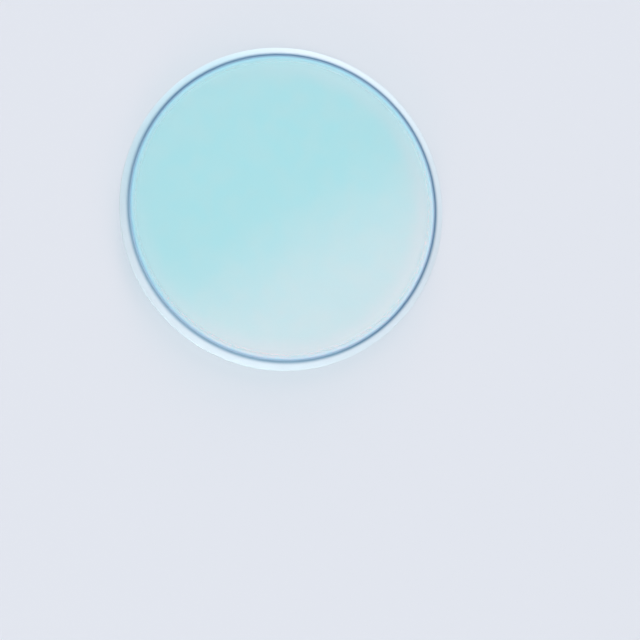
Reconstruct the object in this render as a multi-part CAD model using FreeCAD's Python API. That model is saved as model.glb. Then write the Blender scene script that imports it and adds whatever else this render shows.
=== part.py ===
import FreeCAD, Part
import math
import os

# A round dichroic filter plate: one plane-parallel glass disc, polished on both faces,
# with a fine-ground rim that is bevelled on both sides.
# Millimetres, +Z up. The origin is the centre of the lower face, and Z is the optical axis.

# Driving dimensions
DISC_DIAMETER = 25.4          # standard one inch optic
DISC_THICKNESS = 1.1          # stock gauge of thin borosilicate sheet
BEVEL_WIDTH = 0.64            # ground bevel, measured along the radius
BEVEL_ANGLE = 30.0            # degrees between the bevel and the face
ARRIS_RADIUS = 0.35           # rolled edge that polishing leaves between face and bevel
RIM_BREAK_RADIUS = 0.06       # softened corner between bevel and ground rim

# Sizes that follow from them
RIM_RADIUS = DISC_DIAMETER / 2
FACE_RADIUS = RIM_RADIUS - BEVEL_WIDTH
BEVEL_HEIGHT = BEVEL_WIDTH * math.tan(math.radians(BEVEL_ANGLE))


def section_point(radius, height):
    """A point of the half section, which lies in the XZ plane."""
    return FreeCAD.Vector(radius, 0, height)


def corner_arc(before, corner, after, radius):
    """The arc that rounds a corner and runs into both of its sides without a kink."""
    to_before = (before - corner).normalize()
    to_after = (after - corner).normalize()
    half_angle = to_before.getAngle(to_after) / 2
    inward = (to_before + to_after).normalize()
    setback = radius / math.tan(half_angle)
    depth = radius / math.sin(half_angle) - radius
    start = corner + to_before * setback
    middle = corner + inward * depth
    end = corner + to_after * setback
    return Part.Arc(start, middle, end)


def rim_corners():
    """The rim's four corners from the lower face to the upper one, each with its rounding."""
    upper_bevel_foot = DISC_THICKNESS - BEVEL_HEIGHT
    return [
        (section_point(FACE_RADIUS, 0), ARRIS_RADIUS),
        (section_point(RIM_RADIUS, BEVEL_HEIGHT), RIM_BREAK_RADIUS),
        (section_point(RIM_RADIUS, upper_bevel_foot), RIM_BREAK_RADIUS),
        (section_point(FACE_RADIUS, DISC_THICKNESS), ARRIS_RADIUS),
    ]


def half_section():
    """The disc's section on one side of its axis: face, arris, bevel, rim, bevel, arris, face."""
    lower_centre = section_point(0, 0)
    upper_centre = section_point(0, DISC_THICKNESS)
    corners = rim_corners()
    points = [lower_centre] + [corner for corner, _ in corners] + [upper_centre]
    edges = []
    reached = lower_centre
    for index, (corner, radius) in enumerate(corners, start=1):
        arc = corner_arc(points[index - 1], corner, points[index + 1], radius)
        edges.append(Part.LineSegment(reached, arc.StartPoint).toShape())
        edges.append(arc.toShape())
        reached = arc.EndPoint
    edges.append(Part.LineSegment(reached, upper_centre).toShape())
    edges.append(Part.LineSegment(upper_centre, lower_centre).toShape())
    return Part.Face(Part.Wire(edges))


def filter_disc():
    """The whole disc, turned about the optical axis."""
    axis_point = FreeCAD.Vector(0, 0, 0)
    axis_direction = FreeCAD.Vector(0, 0, 1)
    return half_section().revolve(axis_point, axis_direction, 360)


os.makedirs("parts", exist_ok=True)
filter_disc().exportStep("parts/filter_disc.step")
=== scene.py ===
"""A round dichroic filter plate of ground and polished glass, on a plain pale floor."""

import math

import bpy
from mathutils import Matrix, Vector


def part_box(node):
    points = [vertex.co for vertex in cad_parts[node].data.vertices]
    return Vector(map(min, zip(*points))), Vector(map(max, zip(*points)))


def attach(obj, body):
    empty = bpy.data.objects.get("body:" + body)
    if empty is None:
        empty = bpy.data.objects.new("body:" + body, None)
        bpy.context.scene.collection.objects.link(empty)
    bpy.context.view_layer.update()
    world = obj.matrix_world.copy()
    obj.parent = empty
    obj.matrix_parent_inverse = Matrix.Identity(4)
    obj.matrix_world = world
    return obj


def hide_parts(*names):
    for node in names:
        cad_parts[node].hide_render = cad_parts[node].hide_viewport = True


bl_info = {
    "name": "Optical filter disc",
    "version": (1, 0, 0),
    "blender": (4, 5, 0),
    "location": "View3D > Sidebar > Optics",
    "description": "Builds a coated glass filter disc and a plain studio around it",
    "category": "Object",
}

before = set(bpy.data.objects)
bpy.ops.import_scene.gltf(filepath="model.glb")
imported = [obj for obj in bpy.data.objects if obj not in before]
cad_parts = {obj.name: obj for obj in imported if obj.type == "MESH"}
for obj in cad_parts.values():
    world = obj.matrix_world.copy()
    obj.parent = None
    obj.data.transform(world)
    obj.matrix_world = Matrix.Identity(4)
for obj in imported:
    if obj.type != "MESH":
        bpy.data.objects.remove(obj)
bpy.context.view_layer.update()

DISC_NODE = "filter_disc"
MM = 0.001
node_low, node_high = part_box(DISC_NODE)
NODE_DIAMETER = node_high.x - node_low.x
NODE_THICKNESS = node_high.z - node_low.z
WELD_DISTANCE = 0.001 * MM

# Sockets of the Mix node, several of which share a name
MIX_SHARE = 0
FIRST_VALUE, SECOND_VALUE = 2, 3
FIRST_COLOUR, SECOND_COLOUR = 6, 7

# The dark line reaches this far in and out from the arris, is full at its crest and falls off softly
LINE_INNER = 0.25 * MM
LINE_INNER_PALE = 0.33 * MM
LINE_CREST = 0.01 * MM
LINE_OUTER = 0.40 * MM
LINE_OUTER_PALE = 0.36 * MM
LINE_FALL_POWER = 2.0

# Places where one finish or painted light goes over into the next, as distances outward from the arris
# Painted light: from here the face turns paler and less cyan towards the rim, for light coming in untinted
# through the rim
PAINTED_UNTINTED_LIGHT_BAND = (-2.2 * MM, -0.8 * MM)
# Painted light: from here the face turns into a milky band whose sky blue is a painted glow of light
# scattered in at the rim
MILKY_GLOW_BAND = (-0.7 * MM, -0.22 * MM)
LINE_FLANK = (-0.2 * MM, -0.02 * MM)

# The cyan light painted on the ground bevel starts to fall here, and falls by these shares up to the rim
PAINTED_CYAN_LIGHT_START = 0.1 * MM
PAINTED_CYAN_LIGHT_FALL = (1.0, 0.5)

# The ground wall's finish comes in between these distances inside the rim
WALL_EDGE = (0.04 * MM, 0.01 * MM)

# Sides of the disc, and the shares of its radius over which each comes in
PALE_AZIMUTH = math.radians(225)
PALE_SIDE = (-0.1, 0.95)
# The side where painted cyan light, light that has crossed the coating, lies on the bevels, and where the
# face's painted untinted rim light is left out
PAINTED_CYAN_LIGHT_AZIMUTH = math.radians(140)
PAINTED_LIGHT_COATING_SIDE = (0.3, 0.9)
PAINTED_CYAN_LIGHT_GROUND_SIDE = (0.55, 0.95)

# Shares of the thickness over which the lower side goes over into the upper one
UPPER_SIDE = (0.3, 0.7)

# The coating's soft unevenness
MOTTLE_WIDTH = 1.6 * MM
MOTTLE_LEVELS = (0.35, 0.65)
NOISE_DETAIL = 2.0

# The ground grain, drawn coarser than its real few hundredths of a millimetre so that it shows
GRAIN_WIDTH = 0.09 * MM
GROUND_GRAIN_HEIGHT = 0.006 * MM
ARRIS_GRAIN_HEIGHT = 0.003 * MM

# Glass: its index, how much it mirrors, how rough it is and how much of it is clear
GLASS_IOR = 1.52
FULL_MIRROR = 1.0
ARRIS_MIRROR = 0.1
POLISHED_ROUGHNESS = 0.02
LINE_ROUGHNESS = 0.4
GROUND_ROUGHNESS = 0.45
FACE_CLEAR = 1.0
RIM_CLEAR = 0.2
LINE_CLEAR = 0.4
BEVEL_CLEAR = 0.28
WALL_CLEAR = 0.4

# The studio, in metres: lamps by name, with azimuth and elevation in degrees and side
SOFT_LAMPS = {
    "key": (73, 21, 0.4),
    "side": (-32, 25, 0.25),
    "fill": (225, 68, 0.35),
    "far_rim": (90, 9, 0.18),
    "near_rim": (260, 9, 0.18),
    "left_rim": (190, 9, 0.18),
}
LAMP_DISTANCE = 0.6

# The strip: width and length, its way across, and its place across, along and up
STRIP_SIZE = (0.12, 0.32)
STRIP_ACROSS = (0.5, -0.866, 0)
STRIP_PLACE = (-0.04, 0.115, 0.5)

# In shares of the strip's width: its middle, and how far from there its glow starts and is full
STRIP_MIDDLE = 0.5
STRIP_FEATHER = (0.5, 0.15)

# The floor reaches this far, lies this far under the glass and fades out between these distances
FLOOR_HALF = 1.5
FLOOR_GAP = 0.02 * MM
FLOOR_FADE = (0.07, 0.2)

# The photograph's camera; angles in degrees, and its frame in pixels
CAMERA_AZIMUTH = 225.5
CAMERA_ELEVATION = 76.9
CAMERA_DISTANCE = 0.1942
CAMERA_CLIP = (0.01, 10)
SENSOR_WIDTH = 36.0
PHOTO_SIDE = 640
PHOTO_DISC_CENTRE = (283.55, 207.15)
PHOTO_FOCAL_LENGTH = 2500


def linear(hex_colour):
    """A colour written as sRGB hex, as the linear values that Blender's sockets take."""
    levels = [int(hex_colour[i:i + 2], 16) / 255 for i in (1, 3, 5)]
    return tuple(v / 12.92 if v <= 0.04045 else ((v + 0.055) / 1.055) ** 2.4 for v in levels) + (1.0,)


def colour_property(name, description, hex_colour):
    """A colour that the panel shows."""
    return bpy.props.FloatVectorProperty(
        name=name, description=description, default=linear(hex_colour), size=4, subtype="COLOR",
        min=0.0, max=1.0)


def length_property(name, description, metres):
    """A length that the panel shows."""
    return bpy.props.FloatProperty(
        name=name, description=description, default=metres, min=0.0, precision=5, unit="LENGTH")


def power_property(name, description, watts):
    """A lamp's power that the panel shows."""
    return bpy.props.FloatProperty(name=name, description=description, default=watts, min=0.0, unit="POWER")


class FilterDiscSizes(bpy.types.PropertyGroup):
    """Sizes of the disc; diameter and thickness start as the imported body's"""
    diameter: length_property("Diameter", "Across the ground rim", NODE_DIAMETER)
    thickness: length_property("Thickness", "Between the polished faces", NODE_THICKNESS)
    bevel_width: length_property("Bevel width", "Ground bevel, along the radius", 0.64 * MM)
    bevel_angle: bpy.props.FloatProperty(
        name="Bevel angle", description="Between the bevel and the face",
        default=math.radians(30), unit="ROTATION")
    arris_radius: length_property("Arris radius", "Rolled edge between face and bevel", 0.35 * MM)
    rim_break_radius: length_property("Rim break", "Softened corner between bevel and rim", 0.06 * MM)
    facets: bpy.props.IntProperty(name="Facets", description="Steps around the disc", default=288, min=24)
    arc_steps: bpy.props.IntProperty(name="Arc steps", description="Steps in each rounded corner", default=8)


class FilterDiscFinish(bpy.types.PropertyGroup):
    """Colours of the glass and its coating, with painted light near the rim of the face and on one side of
    the bevels
    """
    coating: colour_property("Coating", "What the coated glass lets through", "#D6FBFA")
    coating_thin: colour_property("Thin coating", "What it lets through in paler patches", "#DEFBF9")
    # Painted light: the milky band's sky blue is a painted glow of light scattered in at the rim
    coating_rim: colour_property("Coating at rim", "The bluer band beside the arris", "#AEEFFF")
    # Painted light: paler and less cyan near the rim, for light coming in untinted through the rim
    coating_edge: colour_property("Coating near rim", "Where the coating thins towards the rim", "#E6FBFA")
    reflection: colour_property("Reflection", "What the coating mirrors", "#FF6F6C")
    run_out: colour_property("Run-out", "The line where the coating thins out", "#4F7599")
    run_out_pale: colour_property("Pale run-out", "The same line where it is palest", "#84A6C0")
    run_out_flank: colour_property("Run-out flank", "The bluer inner flank of that line", "#78B0E5")
    ground: colour_property("Ground glass", "The fine-ground bevels", "#E6F1FA")
    # Painted light: cyan light that has crossed the coating, laid on the bevels of one side
    ground_tinted: colour_property(
        "Tinted ground glass", "The bevels on the side that light tints", "#CFECF7")
    ground_wall: colour_property("Ground wall", "The fine-ground rim between the bevels", "#E6F2F8")
    light_coated: colour_property("Light through coating", "What falls through the coated face", "#E0FEFE")
    light_plain: colour_property("Light through glass", "What falls through the plain face", "#FDFEFE")
    light_line: colour_property("Light through run-out", "What falls through the line", "#BCCBD6")
    light_into_rim: colour_property("Light into the rim", "What falls in through the bevels", "#FDFDFE")
    light_from_rim: colour_property("Light out of the rim", "What falls out through the bevels", "#E6EEF2")


class FilterStudio(bpy.types.PropertyGroup):
    """Floor, background and light"""
    floor: colour_property("Floor", "Plain floor", "#E8ECF5")
    key_power: power_property("Key light", "Low soft lamp beyond the disc", 2.0)
    side_power: power_property("Side light", "Low soft lamp on the right", 0.75)
    fill_power: power_property("Fill light", "Large soft lamp over the camera", 1.65)
    far_rim_power: power_property("Far rim light", "Grazes the rim from beyond the disc", 1.85)
    near_rim_power: power_property("Near rim light", "Grazes the rim from the camera's side", 1.8)
    left_rim_power: power_property("Left rim light", "Grazes the rim from the left", 0.6)
    strip_power: power_property("Strip light", "Feathered strip overhead, seen in the coating", 0.3)
    ambient: bpy.props.FloatProperty(
        name="Ambient", description="Even light from all round", default=0.05, min=0.0)
    background: colour_property("Background", "What the camera sees past the floor", "#E4E8F0")


def feed(tree, node, inputs):
    """Sets or links a node's inputs; a node given as a value stands for its first enabled output."""
    for socket, value in inputs.items():
        if isinstance(value, bpy.types.Node):
            value = next(output for output in value.outputs if output.enabled)
        if isinstance(value, bpy.types.NodeSocket):
            tree.links.new(value, node.inputs[socket])
        else:
            node.inputs[socket].default_value = value


def add(tree, kind, inputs=None, **settings):
    """Adds a node with its settings and links."""
    node = tree.nodes.new(kind)
    for name, value in settings.items():
        setattr(node, name, value)
    feed(tree, node, inputs or {})
    return node


def new_material(name):
    """An empty node material and its output node."""
    material = bpy.data.materials.new(name)
    material.use_nodes = True
    material.node_tree.nodes.clear()
    return material, add(material.node_tree, "ShaderNodeOutputMaterial")


def let_light_through(tree, output, surface, entering, leaving):
    """Glass to the eye, a tinted window to the light that falls on what lies under it."""
    inside = add(tree, "ShaderNodeNewGeometry").outputs["Backfacing"]
    passed = add(tree, "ShaderNodeMix", {
        MIX_SHARE: inside, FIRST_COLOUR: leaving, SECOND_COLOUR: entering}, data_type="RGBA")
    path = add(tree, "ShaderNodeLightPath").outputs
    falling = add(tree, "ShaderNodeMath", {0: path["Is Shadow Ray"], 1: path["Is Diffuse Ray"]},
                  operation="MAXIMUM")
    window = add(tree, "ShaderNodeBsdfTransparent", {"Color": passed})
    feed(tree, output, {"Surface": add(tree, "ShaderNodeMixShader", {0: falling, 1: surface, 2: window})})


def side_share(tree, place, sizes, azimuth, side):
    """Grows from 0 to 1 towards one side of the disc, over the given shares of its radius."""
    start, end = side
    way = (math.cos(azimuth), math.sin(azimuth), 0)
    along = add(tree, "ShaderNodeVectorMath", {0: place, 1: way}, operation="DOT_PRODUCT")
    return add(tree, "ShaderNodeMapRange", {
        "Value": along, "From Min": start * sizes.diameter / 2, "From Max": end * sizes.diameter / 2},
        interpolation_type="SMOOTHSTEP")


def disc_place(tree, sizes):
    """Object position, distance outward from the arris, and height."""
    place = add(tree, "ShaderNodeTexCoord").outputs["Object"]
    flat = add(tree, "ShaderNodeVectorMath", {0: place, 1: (1, 1, 0)}, operation="MULTIPLY")
    radius = add(tree, "ShaderNodeVectorMath", {0: flat}, operation="LENGTH")
    outward = add(tree, "ShaderNodeMath", {0: radius, 1: sizes.diameter / 2 - sizes.bevel_width},
                  operation="SUBTRACT")
    height = add(tree, "ShaderNodeSeparateXYZ", {0: place}).outputs["Z"]
    return place, outward, height


def upper_share(tree, height, sizes):
    """One on the upper side of the disc, none on the lower side."""
    start, end = UPPER_SIDE
    return add(tree, "ShaderNodeMapRange", {
        "Value": height, "From Min": start * sizes.thickness, "From Max": end * sizes.thickness},
        interpolation_type="SMOOTHSTEP")


def run_out_line(tree, place, outward, height, finish, sizes):
    """The line's share and colour: full on the upper arris, fading on either side, none below."""
    pale = side_share(tree, place, sizes, PALE_AZIMUTH, PALE_SIDE)
    inner_end = add(tree, "ShaderNodeMix", {
        MIX_SHARE: pale, FIRST_VALUE: -LINE_INNER, SECOND_VALUE: -LINE_INNER_PALE}, data_type="FLOAT")
    inner = add(tree, "ShaderNodeMapRange", {
        "Value": outward, "From Min": inner_end, "From Max": LINE_CREST}, interpolation_type="SMOOTHSTEP")
    outer_end = add(tree, "ShaderNodeMix", {
        MIX_SHARE: pale, FIRST_VALUE: LINE_OUTER, SECOND_VALUE: LINE_OUTER_PALE}, data_type="FLOAT")
    outer = add(tree, "ShaderNodeMapRange", {
        "Value": outward, "From Min": outer_end, "From Max": 0.0}, interpolation_type="SMOOTHSTEP")
    fall = add(tree, "ShaderNodeMath", {0: outer, 1: LINE_FALL_POWER}, operation="POWER")
    around = add(tree, "ShaderNodeMath", {0: inner, 1: fall}, operation="MULTIPLY")
    share = add(tree, "ShaderNodeMath", {0: around, 1: upper_share(tree, height, sizes)},
                operation="MULTIPLY")
    core = add(tree, "ShaderNodeMix", {
        MIX_SHARE: pale, FIRST_COLOUR: finish.run_out, SECOND_COLOUR: finish.run_out_pale}, data_type="RGBA")
    past_flank = add(tree, "ShaderNodeMapRange", {
        "Value": outward, "From Min": LINE_FLANK[0], "From Max": LINE_FLANK[1]},
        interpolation_type="SMOOTHSTEP")
    colour = add(tree, "ShaderNodeMix", {
        MIX_SHARE: past_flank, FIRST_COLOUR: finish.run_out_flank, SECOND_COLOUR: core}, data_type="RGBA")
    return share, colour


def coating_tint(tree, place, outward, finish, sizes):
    """The coating's colour on the open face: paler in soft patches, and near the rim paler and less cyan by
    painted light, but for one side.
    """
    noise = add(tree, "ShaderNodeTexNoise", {
        "Vector": place, "Scale": 1 / MOTTLE_WIDTH, "Detail": NOISE_DETAIL})
    patches = add(tree, "ShaderNodeMapRange", {
        "Value": noise, "From Min": MOTTLE_LEVELS[0], "From Max": MOTTLE_LEVELS[1]},
        interpolation_type="SMOOTHSTEP")
    mottled = add(tree, "ShaderNodeMix", {
        MIX_SHARE: patches, FIRST_COLOUR: finish.coating, SECOND_COLOUR: finish.coating_thin},
        data_type="RGBA")
    # Painted light near the rim: paler and less cyan, for light coming in untinted through the rim; left out
    # on the side where the light comes through the coating
    tinted = side_share(tree, place, sizes, PAINTED_CYAN_LIGHT_AZIMUTH, PAINTED_LIGHT_COATING_SIDE)
    even = add(tree, "ShaderNodeMath", {0: 1.0, 1: tinted}, operation="SUBTRACT")
    band = add(tree, "ShaderNodeMapRange", {
        "Value": outward, "From Min": PAINTED_UNTINTED_LIGHT_BAND[0], "From Max": PAINTED_UNTINTED_LIGHT_BAND[1]},
        interpolation_type="SMOOTHSTEP")
    untinted_light_share = add(tree, "ShaderNodeMath", {0: band, 1: even}, operation="MULTIPLY")
    return add(tree, "ShaderNodeMix", {
        MIX_SHARE: untinted_light_share, FIRST_COLOUR: mottled, SECOND_COLOUR: finish.coating_edge}, data_type="RGBA")


def coated_glass(finish, sizes, name, passed):
    """Polished borosilicate sheet with a dichroic coating.

    To the eye it is clear pale cyan with a weak red mirror image, and goes over into a milky band,
    painted sky blue as a glow of scattered light, and the dark blue line beside the upper arris.
    """
    material, output = new_material(name)
    tree = material.node_tree
    place, outward, height = disc_place(tree, sizes)
    share, line = run_out_line(tree, place, outward, height, finish, sizes)
    # The milky band beside the upper arris; its sky blue is a painted glow of light scattered in at the rim
    band = add(tree, "ShaderNodeMapRange", {
        "Value": outward, "From Min": MILKY_GLOW_BAND[0], "From Max": MILKY_GLOW_BAND[1]}, interpolation_type="SMOOTHSTEP")
    near_rim = add(tree, "ShaderNodeMath", {0: band, 1: upper_share(tree, height, sizes)},
                   operation="MULTIPLY")
    face_tint = coating_tint(tree, place, outward, finish, sizes)
    banded = add(tree, "ShaderNodeMix", {
        MIX_SHARE: near_rim, FIRST_COLOUR: face_tint, SECOND_COLOUR: finish.coating_rim}, data_type="RGBA")
    tint = add(tree, "ShaderNodeMix", {
        MIX_SHARE: share, FIRST_COLOUR: banded, SECOND_COLOUR: line}, data_type="RGBA")
    milky = add(tree, "ShaderNodeMix", {
        MIX_SHARE: near_rim, FIRST_VALUE: FACE_CLEAR, SECOND_VALUE: RIM_CLEAR}, data_type="FLOAT")
    clear = add(tree, "ShaderNodeMix", {
        MIX_SHARE: share, FIRST_VALUE: milky, SECOND_VALUE: LINE_CLEAR}, data_type="FLOAT")
    roughness = add(tree, "ShaderNodeMix", {
        MIX_SHARE: share, FIRST_VALUE: POLISHED_ROUGHNESS, SECOND_VALUE: LINE_ROUGHNESS}, data_type="FLOAT")
    glass = add(tree, "ShaderNodeBsdfPrincipled", {
        "Base Color": tint, "Roughness": roughness, "IOR": GLASS_IOR, "Specular IOR Level": FULL_MIRROR,
        "Transmission Weight": clear, "Specular Tint": finish.reflection})
    through = add(tree, "ShaderNodeMix", {
        MIX_SHARE: share, FIRST_COLOUR: passed, SECOND_COLOUR: finish.light_line}, data_type="RGBA")
    let_light_through(tree, output, glass, through, through)
    return material


def grain(tree, place, height):
    """Fine grinding: bumps of the grain's width and the given height."""
    noise = add(tree, "ShaderNodeTexNoise", {
        "Vector": place, "Scale": 1 / GRAIN_WIDTH, "Detail": NOISE_DETAIL})
    return add(tree, "ShaderNodeBump", {"Strength": 1.0, "Distance": height, "Height": noise})


def feathered_coating(finish, sizes):
    """The rolled arris, where the coating runs out: to the eye a soft dark blue line without a glint."""
    material, output = new_material("Coating run-out on the arris")
    tree = material.node_tree
    place, outward, height = disc_place(tree, sizes)
    share, line = run_out_line(tree, place, outward, height, finish, sizes)
    tint = add(tree, "ShaderNodeMix", {
        MIX_SHARE: share, FIRST_COLOUR: finish.ground, SECOND_COLOUR: line}, data_type="RGBA")
    glass = add(tree, "ShaderNodeBsdfPrincipled", {
        "Base Color": tint, "Roughness": LINE_ROUGHNESS, "IOR": GLASS_IOR,
        "Transmission Weight": LINE_CLEAR, "Specular IOR Level": ARRIS_MIRROR,
        "Normal": grain(tree, place, ARRIS_GRAIN_HEIGHT)})
    let_light_through(tree, output, glass, finish.light_line, finish.light_line)
    return material


def ground_glass(finish, sizes):
    """Fine-ground bevels and rim: to the eye a frosted, nearly white ring, with painted cyan light on one
    side.
    """
    material, output = new_material("Fine-ground borosilicate")
    tree = material.node_tree
    place, outward, height = disc_place(tree, sizes)
    share, line = run_out_line(tree, place, outward, height, finish, sizes)
    wall = add(tree, "ShaderNodeMapRange", {
        "Value": outward, "From Min": sizes.bevel_width - WALL_EDGE[0],
        "From Max": sizes.bevel_width - WALL_EDGE[1]}, interpolation_type="SMOOTHSTEP")
    # Painted light: cyan light that has crossed the coating, on the bevels of one side, falling off towards
    # the rim
    fall = add(tree, "ShaderNodeMapRange", {
        "Value": outward, "From Min": PAINTED_CYAN_LIGHT_START, "From Max": sizes.bevel_width,
        "To Min": PAINTED_CYAN_LIGHT_FALL[0], "To Max": PAINTED_CYAN_LIGHT_FALL[1]}, interpolation_type="SMOOTHSTEP")
    side = side_share(tree, place, sizes, PAINTED_CYAN_LIGHT_AZIMUTH, PAINTED_CYAN_LIGHT_GROUND_SIDE)
    tinted = add(tree, "ShaderNodeMath", {0: side, 1: fall}, operation="MULTIPLY")
    bevel = add(tree, "ShaderNodeMix", {
        MIX_SHARE: tinted, FIRST_COLOUR: finish.ground, SECOND_COLOUR: finish.ground_tinted},
        data_type="RGBA")
    ground = add(tree, "ShaderNodeMix", {
        MIX_SHARE: wall, FIRST_COLOUR: bevel, SECOND_COLOUR: finish.ground_wall}, data_type="RGBA")
    tint = add(tree, "ShaderNodeMix", {
        MIX_SHARE: share, FIRST_COLOUR: ground, SECOND_COLOUR: line}, data_type="RGBA")
    frosted = add(tree, "ShaderNodeMix", {
        MIX_SHARE: wall, FIRST_VALUE: BEVEL_CLEAR, SECOND_VALUE: WALL_CLEAR}, data_type="FLOAT")
    clear = add(tree, "ShaderNodeMix", {
        MIX_SHARE: share, FIRST_VALUE: frosted, SECOND_VALUE: LINE_CLEAR}, data_type="FLOAT")
    glass = add(tree, "ShaderNodeBsdfPrincipled", {
        "Base Color": tint, "Roughness": GROUND_ROUGHNESS, "IOR": GLASS_IOR, "Transmission Weight": clear,
        "Specular IOR Level": FULL_MIRROR, "Normal": grain(tree, place, GROUND_GRAIN_HEIGHT)})
    entering, leaving = (
        add(tree, "ShaderNodeMix", {
            MIX_SHARE: share, FIRST_COLOUR: passed, SECOND_COLOUR: finish.light_line}, data_type="RGBA")
        for passed in (finish.light_into_rim, finish.light_from_rim))
    let_light_through(tree, output, glass, entering, leaving)
    return material


def half_section(tree, given):
    """The disc's half section as a curve, with its rounded corners."""
    to_axis = add(tree, "ShaderNodeMath", {0: given["Diameter"], 1: -0.5}, operation="MULTIPLY")
    to_face = add(tree, "ShaderNodeMath", {0: given["Bevel Width"], 1: -1.0}, operation="MULTIPLY")
    slope = add(tree, "ShaderNodeMath", {0: given["Bevel Angle"]}, operation="TANGENT")
    bevel_height = add(tree, "ShaderNodeMath", {0: given["Bevel Width"], 1: slope}, operation="MULTIPLY")
    upper_foot = add(tree, "ShaderNodeMath", {0: given["Thickness"], 1: bevel_height}, operation="SUBTRACT")

    # Six corners counted from the lower centre: x inward from the rim, y up, and the rounding
    corners = [
        (to_axis, 0.0, 0.0),
        (to_face, 0.0, given["Arris Radius"]),
        (0.0, bevel_height, given["Rim Break Radius"]),
        (0.0, upper_foot, given["Rim Break Radius"]),
        (to_face, given["Thickness"], given["Arris Radius"]),
        (to_axis, given["Thickness"], 0.0),
    ]
    index = add(tree, "GeometryNodeInputIndex")
    place = add(tree, "GeometryNodeIndexSwitch", {"Index": index}, data_type="VECTOR")
    rounding = add(tree, "GeometryNodeIndexSwitch", {"Index": index}, data_type="FLOAT")
    for switch in (place, rounding):
        while len(switch.index_switch_items) < len(corners):
            switch.index_switch_items.new()
    for number, (x, y, radius) in enumerate(corners):
        down = add(tree, "ShaderNodeMath", {0: y, 1: -1.0}, operation="MULTIPLY")
        feed(tree, place, {str(number): add(tree, "ShaderNodeCombineXYZ", {0: x, 1: down})})
        feed(tree, rounding, {str(number): radius})
    line = add(tree, "GeometryNodeMeshLine", {"Count": len(corners)})
    placed = add(tree, "GeometryNodeSetPosition", {"Geometry": line, "Position": place})
    section = add(tree, "GeometryNodeMeshToCurve", {"Mesh": placed})
    return add(tree, "GeometryNodeFilletCurve", {
        "Curve": section, "Count": given["Arc Steps"], "Radius": rounding}, mode="POLY")


def disc_tree(coated, plain, arris, ground):
    """A half section turned about the optical axis, with named sizes and a material for each zone."""
    tree = bpy.data.node_groups.new("Turned filter disc", "GeometryNodeTree")
    face = tree.interface
    face.new_socket("Disc", in_out="OUTPUT", socket_type="NodeSocketGeometry")
    for name in ("Diameter", "Thickness", "Bevel Width", "Bevel Angle", "Arris Radius", "Rim Break Radius"):
        face.new_socket(name, in_out="INPUT", socket_type="NodeSocketFloat")
    for name in ("Facets", "Arc Steps"):
        face.new_socket(name, in_out="INPUT", socket_type="NodeSocketInt")
    given = add(tree, "NodeGroupInput").outputs

    rim_radius = add(tree, "ShaderNodeMath", {0: given["Diameter"], 1: 0.5}, operation="MULTIPLY")
    rim = add(tree, "GeometryNodeCurvePrimitiveCircle", {
        "Resolution": given["Facets"], "Radius": rim_radius})
    turned = add(tree, "GeometryNodeCurveToMesh", {
        "Curve": rim, "Profile Curve": half_section(tree, given)})
    outward = add(tree, "GeometryNodeFlipFaces", {"Mesh": turned})
    welded = add(tree, "GeometryNodeMergeByDistance", {"Geometry": outward, "Distance": WELD_DISTANCE})

    # The polished face ends, and the arris starts, where the rounding meets the plane
    half_angle = add(tree, "ShaderNodeMath", {0: given["Bevel Angle"], 1: 0.5}, operation="MULTIPLY")
    half_slope = add(tree, "ShaderNodeMath", {0: half_angle}, operation="TANGENT")
    setback = add(tree, "ShaderNodeMath", {0: given["Arris Radius"], 1: half_slope}, operation="MULTIPLY")
    face_radius = add(tree, "ShaderNodeMath", {0: rim_radius, 1: given["Bevel Width"]}, operation="SUBTRACT")
    face_end = add(tree, "ShaderNodeMath", {0: face_radius, 1: setback}, operation="SUBTRACT")
    lean = add(tree, "ShaderNodeMath", {0: given["Bevel Angle"]}, operation="COSINE")
    reach = add(tree, "ShaderNodeMath", {0: setback, 1: lean}, operation="MULTIPLY")
    arris_end = add(tree, "ShaderNodeMath", {0: face_radius, 1: reach}, operation="ADD")
    middle = add(tree, "ShaderNodeMath", {0: given["Thickness"], 1: 0.5}, operation="MULTIPLY")

    here = add(tree, "GeometryNodeInputPosition")
    flat = add(tree, "ShaderNodeVectorMath", {0: here, 1: (1, 1, 0)}, operation="MULTIPLY")
    radius = add(tree, "ShaderNodeVectorMath", {0: flat}, operation="LENGTH")
    height = add(tree, "ShaderNodeSeparateXYZ", {0: here}).outputs["Z"]
    on_face = add(tree, "ShaderNodeMath", {0: radius, 1: face_end}, operation="LESS_THAN")
    in_arris = add(tree, "ShaderNodeMath", {0: radius, 1: arris_end}, operation="LESS_THAN")
    around_face = add(tree, "ShaderNodeMath", {0: in_arris, 1: on_face}, operation="SUBTRACT")
    upper = add(tree, "ShaderNodeMath", {0: height, 1: middle}, operation="GREATER_THAN")
    on_upper_face = add(tree, "ShaderNodeMath", {0: upper, 1: on_face}, operation="MULTIPLY")
    on_arris = add(tree, "ShaderNodeMath", {0: upper, 1: around_face}, operation="MULTIPLY")

    # The polished faces stay flat shaded, so that they stay plane
    smooth = add(tree, "GeometryNodeSetShadeSmooth", {"Geometry": welded, "Shade Smooth": True})
    plane = add(tree, "GeometryNodeSetShadeSmooth", {
        "Geometry": smooth, "Selection": on_face, "Shade Smooth": False})
    real = add(tree, "GeometryNodeRealizeInstances", {"Geometry": plane})
    painted = add(tree, "GeometryNodeSetMaterial", {"Geometry": real, "Material": ground})
    for material, zone in ((plain, on_face), (coated, on_upper_face), (arris, on_arris)):
        painted = add(tree, "GeometryNodeSetMaterial", {
            "Geometry": painted, "Selection": zone, "Material": material})
    add(tree, "NodeGroupOutput", {"Disc": painted})
    return tree


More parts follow.
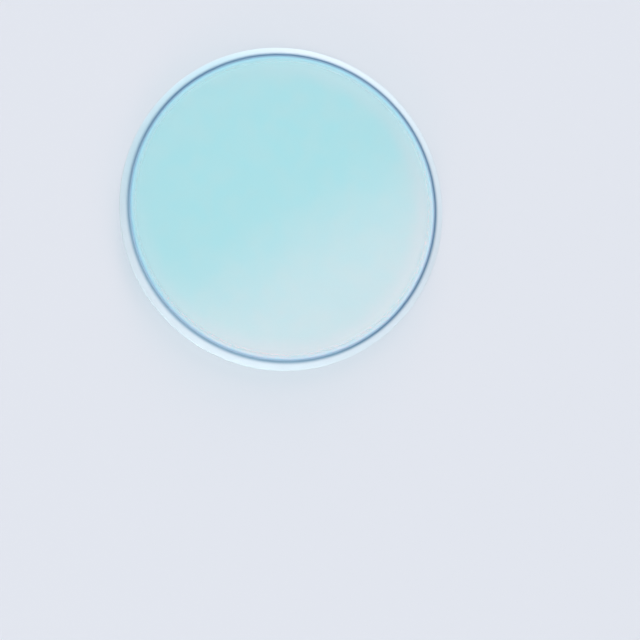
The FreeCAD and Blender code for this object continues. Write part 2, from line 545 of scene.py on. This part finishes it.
def as_plain_mesh(name, tree, values):
    """Runs a geometry tree with the given inputs, and returns its result as a mesh object."""
    carrier = bpy.data.objects.new(name + "_tree", bpy.data.meshes.new(name + "_tree"))
    bpy.context.scene.collection.objects.link(carrier)
    modifier = carrier.modifiers.new("Turn", "NODES")
    modifier.node_group = tree
    identifiers = {
        item.name: item.identifier for item in tree.interface.items_tree if item.in_out == "INPUT"}
    for label, value in values.items():
        modifier[identifiers[label]] = value
    seen = carrier.evaluated_get(bpy.context.evaluated_depsgraph_get())
    mesh = bpy.data.meshes.new_from_object(seen)
    carrier.modifiers.remove(modifier)
    bpy.data.objects.remove(carrier)
    mesh.name = name
    piece = bpy.data.objects.new(name, mesh)
    bpy.context.scene.collection.objects.link(piece)
    return piece


class OPTICS_OT_coated_disc(bpy.types.Operator):
    """Turns the glass disc and gives it its coated, feathered and ground finishes"""
    bl_idname = "optics.coated_disc"
    bl_label = "Coated glass disc"

    def execute(self, context):
        sizes, finish = context.scene.filter_disc_sizes, context.scene.filter_disc_finish
        tree = disc_tree(coated_glass(finish, sizes, "Dichroic coated borosilicate", finish.light_coated),
                         coated_glass(finish, sizes, "Polished borosilicate", finish.light_plain),
                         feathered_coating(finish, sizes), ground_glass(finish, sizes))
        disc = as_plain_mesh("coated_disc", tree, {
            "Diameter": sizes.diameter, "Thickness": sizes.thickness,
            "Bevel Width": sizes.bevel_width, "Bevel Angle": sizes.bevel_angle,
            "Arris Radius": sizes.arris_radius, "Rim Break Radius": sizes.rim_break_radius,
            "Facets": sizes.facets, "Arc Steps": sizes.arc_steps})
        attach(disc, "root")
        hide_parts(DISC_NODE)
        return {"FINISHED"}


def seen_directly(tree):
    """One for what the camera sees, also in a mirror or through glass, and none for the light it gives."""
    path = add(tree, "ShaderNodeLightPath").outputs
    seen = add(tree, "ShaderNodeMath", {0: path["Is Camera Ray"], 1: path["Is Glossy Ray"]},
               operation="MAXIMUM")
    return add(tree, "ShaderNodeMath", {0: seen, 1: path["Is Transmission Ray"]}, operation="MAXIMUM")


def plain_floor(studio):
    """A matt floor, just under the glass, which goes over into the background far from it."""
    corners = [(x * FLOOR_HALF, y * FLOOR_HALF, -FLOOR_GAP) for x, y in ((-1, -1), (1, -1), (1, 1), (-1, 1))]
    mesh = bpy.data.meshes.new("floor")
    mesh.from_pydata(corners, [], [(0, 1, 2, 3)])
    material, output = new_material("Plain matt floor")
    tree = material.node_tree
    place = add(tree, "ShaderNodeTexCoord").outputs["Object"]
    distance = add(tree, "ShaderNodeVectorMath", {0: place}, operation="LENGTH")
    fade = add(tree, "ShaderNodeMapRange", {
        "Value": distance, "From Min": FLOOR_FADE[0], "From Max": FLOOR_FADE[1]},
        interpolation_type="SMOOTHSTEP")
    far = add(tree, "ShaderNodeMath", {0: fade, 1: seen_directly(tree)}, operation="MULTIPLY")
    matt = add(tree, "ShaderNodeBsdfDiffuse", {"Color": studio.floor})
    backdrop = add(tree, "ShaderNodeEmission", {"Color": studio.background, "Strength": 1.0})
    feed(tree, output, {"Surface": add(tree, "ShaderNodeMixShader", {0: far, 1: matt, 2: backdrop})})
    mesh.materials.append(material)
    floor = bpy.data.objects.new("floor", mesh)
    bpy.context.scene.collection.objects.link(floor)


def studio_world(studio):
    """Even light from all round, and a pale background."""
    world = bpy.data.worlds.new("Studio")
    bpy.context.scene.world = world
    world.use_nodes = True
    tree = world.node_tree
    tree.nodes.clear()
    light = add(tree, "ShaderNodeBackground", {"Color": linear("#FFFFFF"), "Strength": studio.ambient})
    backdrop = add(tree, "ShaderNodeBackground", {"Color": studio.background, "Strength": 1.0})
    mix = add(tree, "ShaderNodeMixShader", {0: seen_directly(tree), 1: light, 2: backdrop})
    add(tree, "ShaderNodeOutputWorld", {"Surface": mix})


def direction(azimuth, elevation):
    """A unit vector; both angles in degrees, the azimuth turned from +X towards +Y."""
    turn, lift = math.radians(azimuth), math.radians(elevation)
    return Vector((math.cos(lift) * math.cos(turn), math.cos(lift) * math.sin(turn), math.sin(lift)))


def soft_lamp(name, azimuth, elevation, side, power):
    """A square soft lamp that looks at the disc, and that neither a mirror nor clear glass shows."""
    data = bpy.data.lights.new(name, "AREA")
    data.size = side
    data.energy = power
    lamp = bpy.data.objects.new(name, data)
    towards = direction(azimuth, elevation)
    lamp.location = towards * LAMP_DISTANCE
    lamp.rotation_mode = "QUATERNION"
    lamp.rotation_quaternion = towards.to_track_quat("Z", "Y")
    lamp.visible_glossy = False
    lamp.visible_transmission = False
    bpy.context.scene.collection.objects.link(lamp)


def strip_lamp(name, power):
    """A feathered strip overhead, whose edge crosses the disc in the camera's mirror view."""
    data = bpy.data.lights.new(name, "AREA")
    data.shape = "RECTANGLE"
    data.size, data.size_y = STRIP_SIZE
    data.energy = power
    data.use_nodes = True
    tree = data.node_tree
    tree.nodes.clear()
    place = add(tree, "ShaderNodeNewGeometry").outputs["Parametric"]
    side = add(tree, "ShaderNodeSeparateXYZ", {0: place}).outputs["X"]
    from_middle = add(tree, "ShaderNodeMath", {0: side, 1: STRIP_MIDDLE}, operation="SUBTRACT")
    distance = add(tree, "ShaderNodeMath", {0: from_middle}, operation="ABSOLUTE")
    feather = add(tree, "ShaderNodeMapRange", {
        "Value": distance, "From Min": STRIP_FEATHER[0], "From Max": STRIP_FEATHER[1]},
        interpolation_type="SMOOTHSTEP")
    glow = add(tree, "ShaderNodeEmission", {"Strength": feather})
    add(tree, "ShaderNodeOutputLight", {"Surface": glow})
    up = Vector((0, 0, 1))
    across = Vector(STRIP_ACROSS).normalized()
    along = up.cross(across)
    edge_across, edge_along, height = STRIP_PLACE
    middle = across * (edge_across + data.size / 2) + along * edge_along + up * height
    lamp = bpy.data.objects.new(name, data)
    lamp.matrix_world = Matrix.Translation(middle) @ Matrix((across, along, up)).transposed().to_4x4()
    bpy.context.scene.collection.objects.link(lamp)


def axes_along(way):
    """Columns: right, up and forward, for a view along the given way with +Y up in the picture."""
    forward = way.normalized()
    right = forward.cross(Vector((0, 1, 0))).normalized()
    return Matrix((right, right.cross(forward), forward)).transposed()


def photograph_camera(target):
    """Looks at the target from the photograph's side, with the disc at its place in the frame."""
    to_camera = direction(CAMERA_AZIMUTH, CAMERA_ELEVATION)
    in_picture = Vector((
        (PHOTO_DISC_CENTRE[0] - PHOTO_SIDE / 2) / PHOTO_FOCAL_LENGTH,
        (PHOTO_SIDE / 2 - PHOTO_DISC_CENTRE[1]) / PHOTO_FOCAL_LENGTH,
        -1.0))
    turn = axes_along(-to_camera) @ axes_along(in_picture).transposed()
    data = bpy.data.cameras.new("camera")
    data.sensor_width = SENSOR_WIDTH
    data.lens = SENSOR_WIDTH * PHOTO_FOCAL_LENGTH / PHOTO_SIDE
    data.clip_start, data.clip_end = CAMERA_CLIP
    camera = bpy.data.objects.new("camera", data)
    camera.rotation_mode = "QUATERNION"
    camera.rotation_quaternion = turn.to_quaternion()
    camera.location = Vector(target) + to_camera * CAMERA_DISTANCE
    bpy.context.scene.collection.objects.link(camera)
    bpy.context.scene.camera = camera


class OPTICS_OT_studio(bpy.types.Operator):
    """Sets up the floor, the soft light and the photograph's camera"""
    bl_idname = "optics.studio"
    bl_label = "Studio"

    def execute(self, context):
        studio = context.scene.filter_studio
        plain_floor(studio)
        studio_world(studio)
        for name, (azimuth, elevation, side) in SOFT_LAMPS.items():
            soft_lamp(name, azimuth, elevation, side, getattr(studio, name + "_power"))
        strip_lamp("strip", studio.strip_power)
        photograph_camera((0, 0, NODE_THICKNESS))
        context.scene.view_settings.view_transform = "Standard"
        return {"FINISHED"}


class OPTICS_PT_filter_disc(bpy.types.Panel):
    """Every size, colour and power, and the buttons that build the piece and its studio"""
    bl_idname = "OPTICS_PT_filter_disc"
    bl_label = "Optical filter disc"
    bl_space_type = "VIEW_3D"
    bl_region_type = "UI"
    bl_category = "Optics"

    def draw(self, context):
        scene = context.scene
        for group in (scene.filter_disc_sizes, scene.filter_disc_finish, scene.filter_studio):
            box = self.layout.box()
            for name in group.__annotations__:
                box.prop(group, name)
        self.layout.operator(OPTICS_OT_coated_disc.bl_idname)
        self.layout.operator(OPTICS_OT_studio.bl_idname)


CLASSES = (FilterDiscSizes, FilterDiscFinish, FilterStudio,
           OPTICS_OT_coated_disc, OPTICS_OT_studio, OPTICS_PT_filter_disc)


def register():
    """Adds the classes and the scene's settings."""
    for cls in CLASSES:
        bpy.utils.register_class(cls)
    bpy.types.Scene.filter_disc_sizes = bpy.props.PointerProperty(type=FilterDiscSizes)
    bpy.types.Scene.filter_disc_finish = bpy.props.PointerProperty(type=FilterDiscFinish)
    bpy.types.Scene.filter_studio = bpy.props.PointerProperty(type=FilterStudio)


def unregister():
    """Takes them away again."""
    del bpy.types.Scene.filter_studio
    del bpy.types.Scene.filter_disc_finish
    del bpy.types.Scene.filter_disc_sizes
    for cls in reversed(CLASSES):
        bpy.utils.unregister_class(cls)


def main():
    register()
    bpy.ops.optics.coated_disc()
    bpy.ops.optics.studio()


if __name__ == "__main__":
    main()
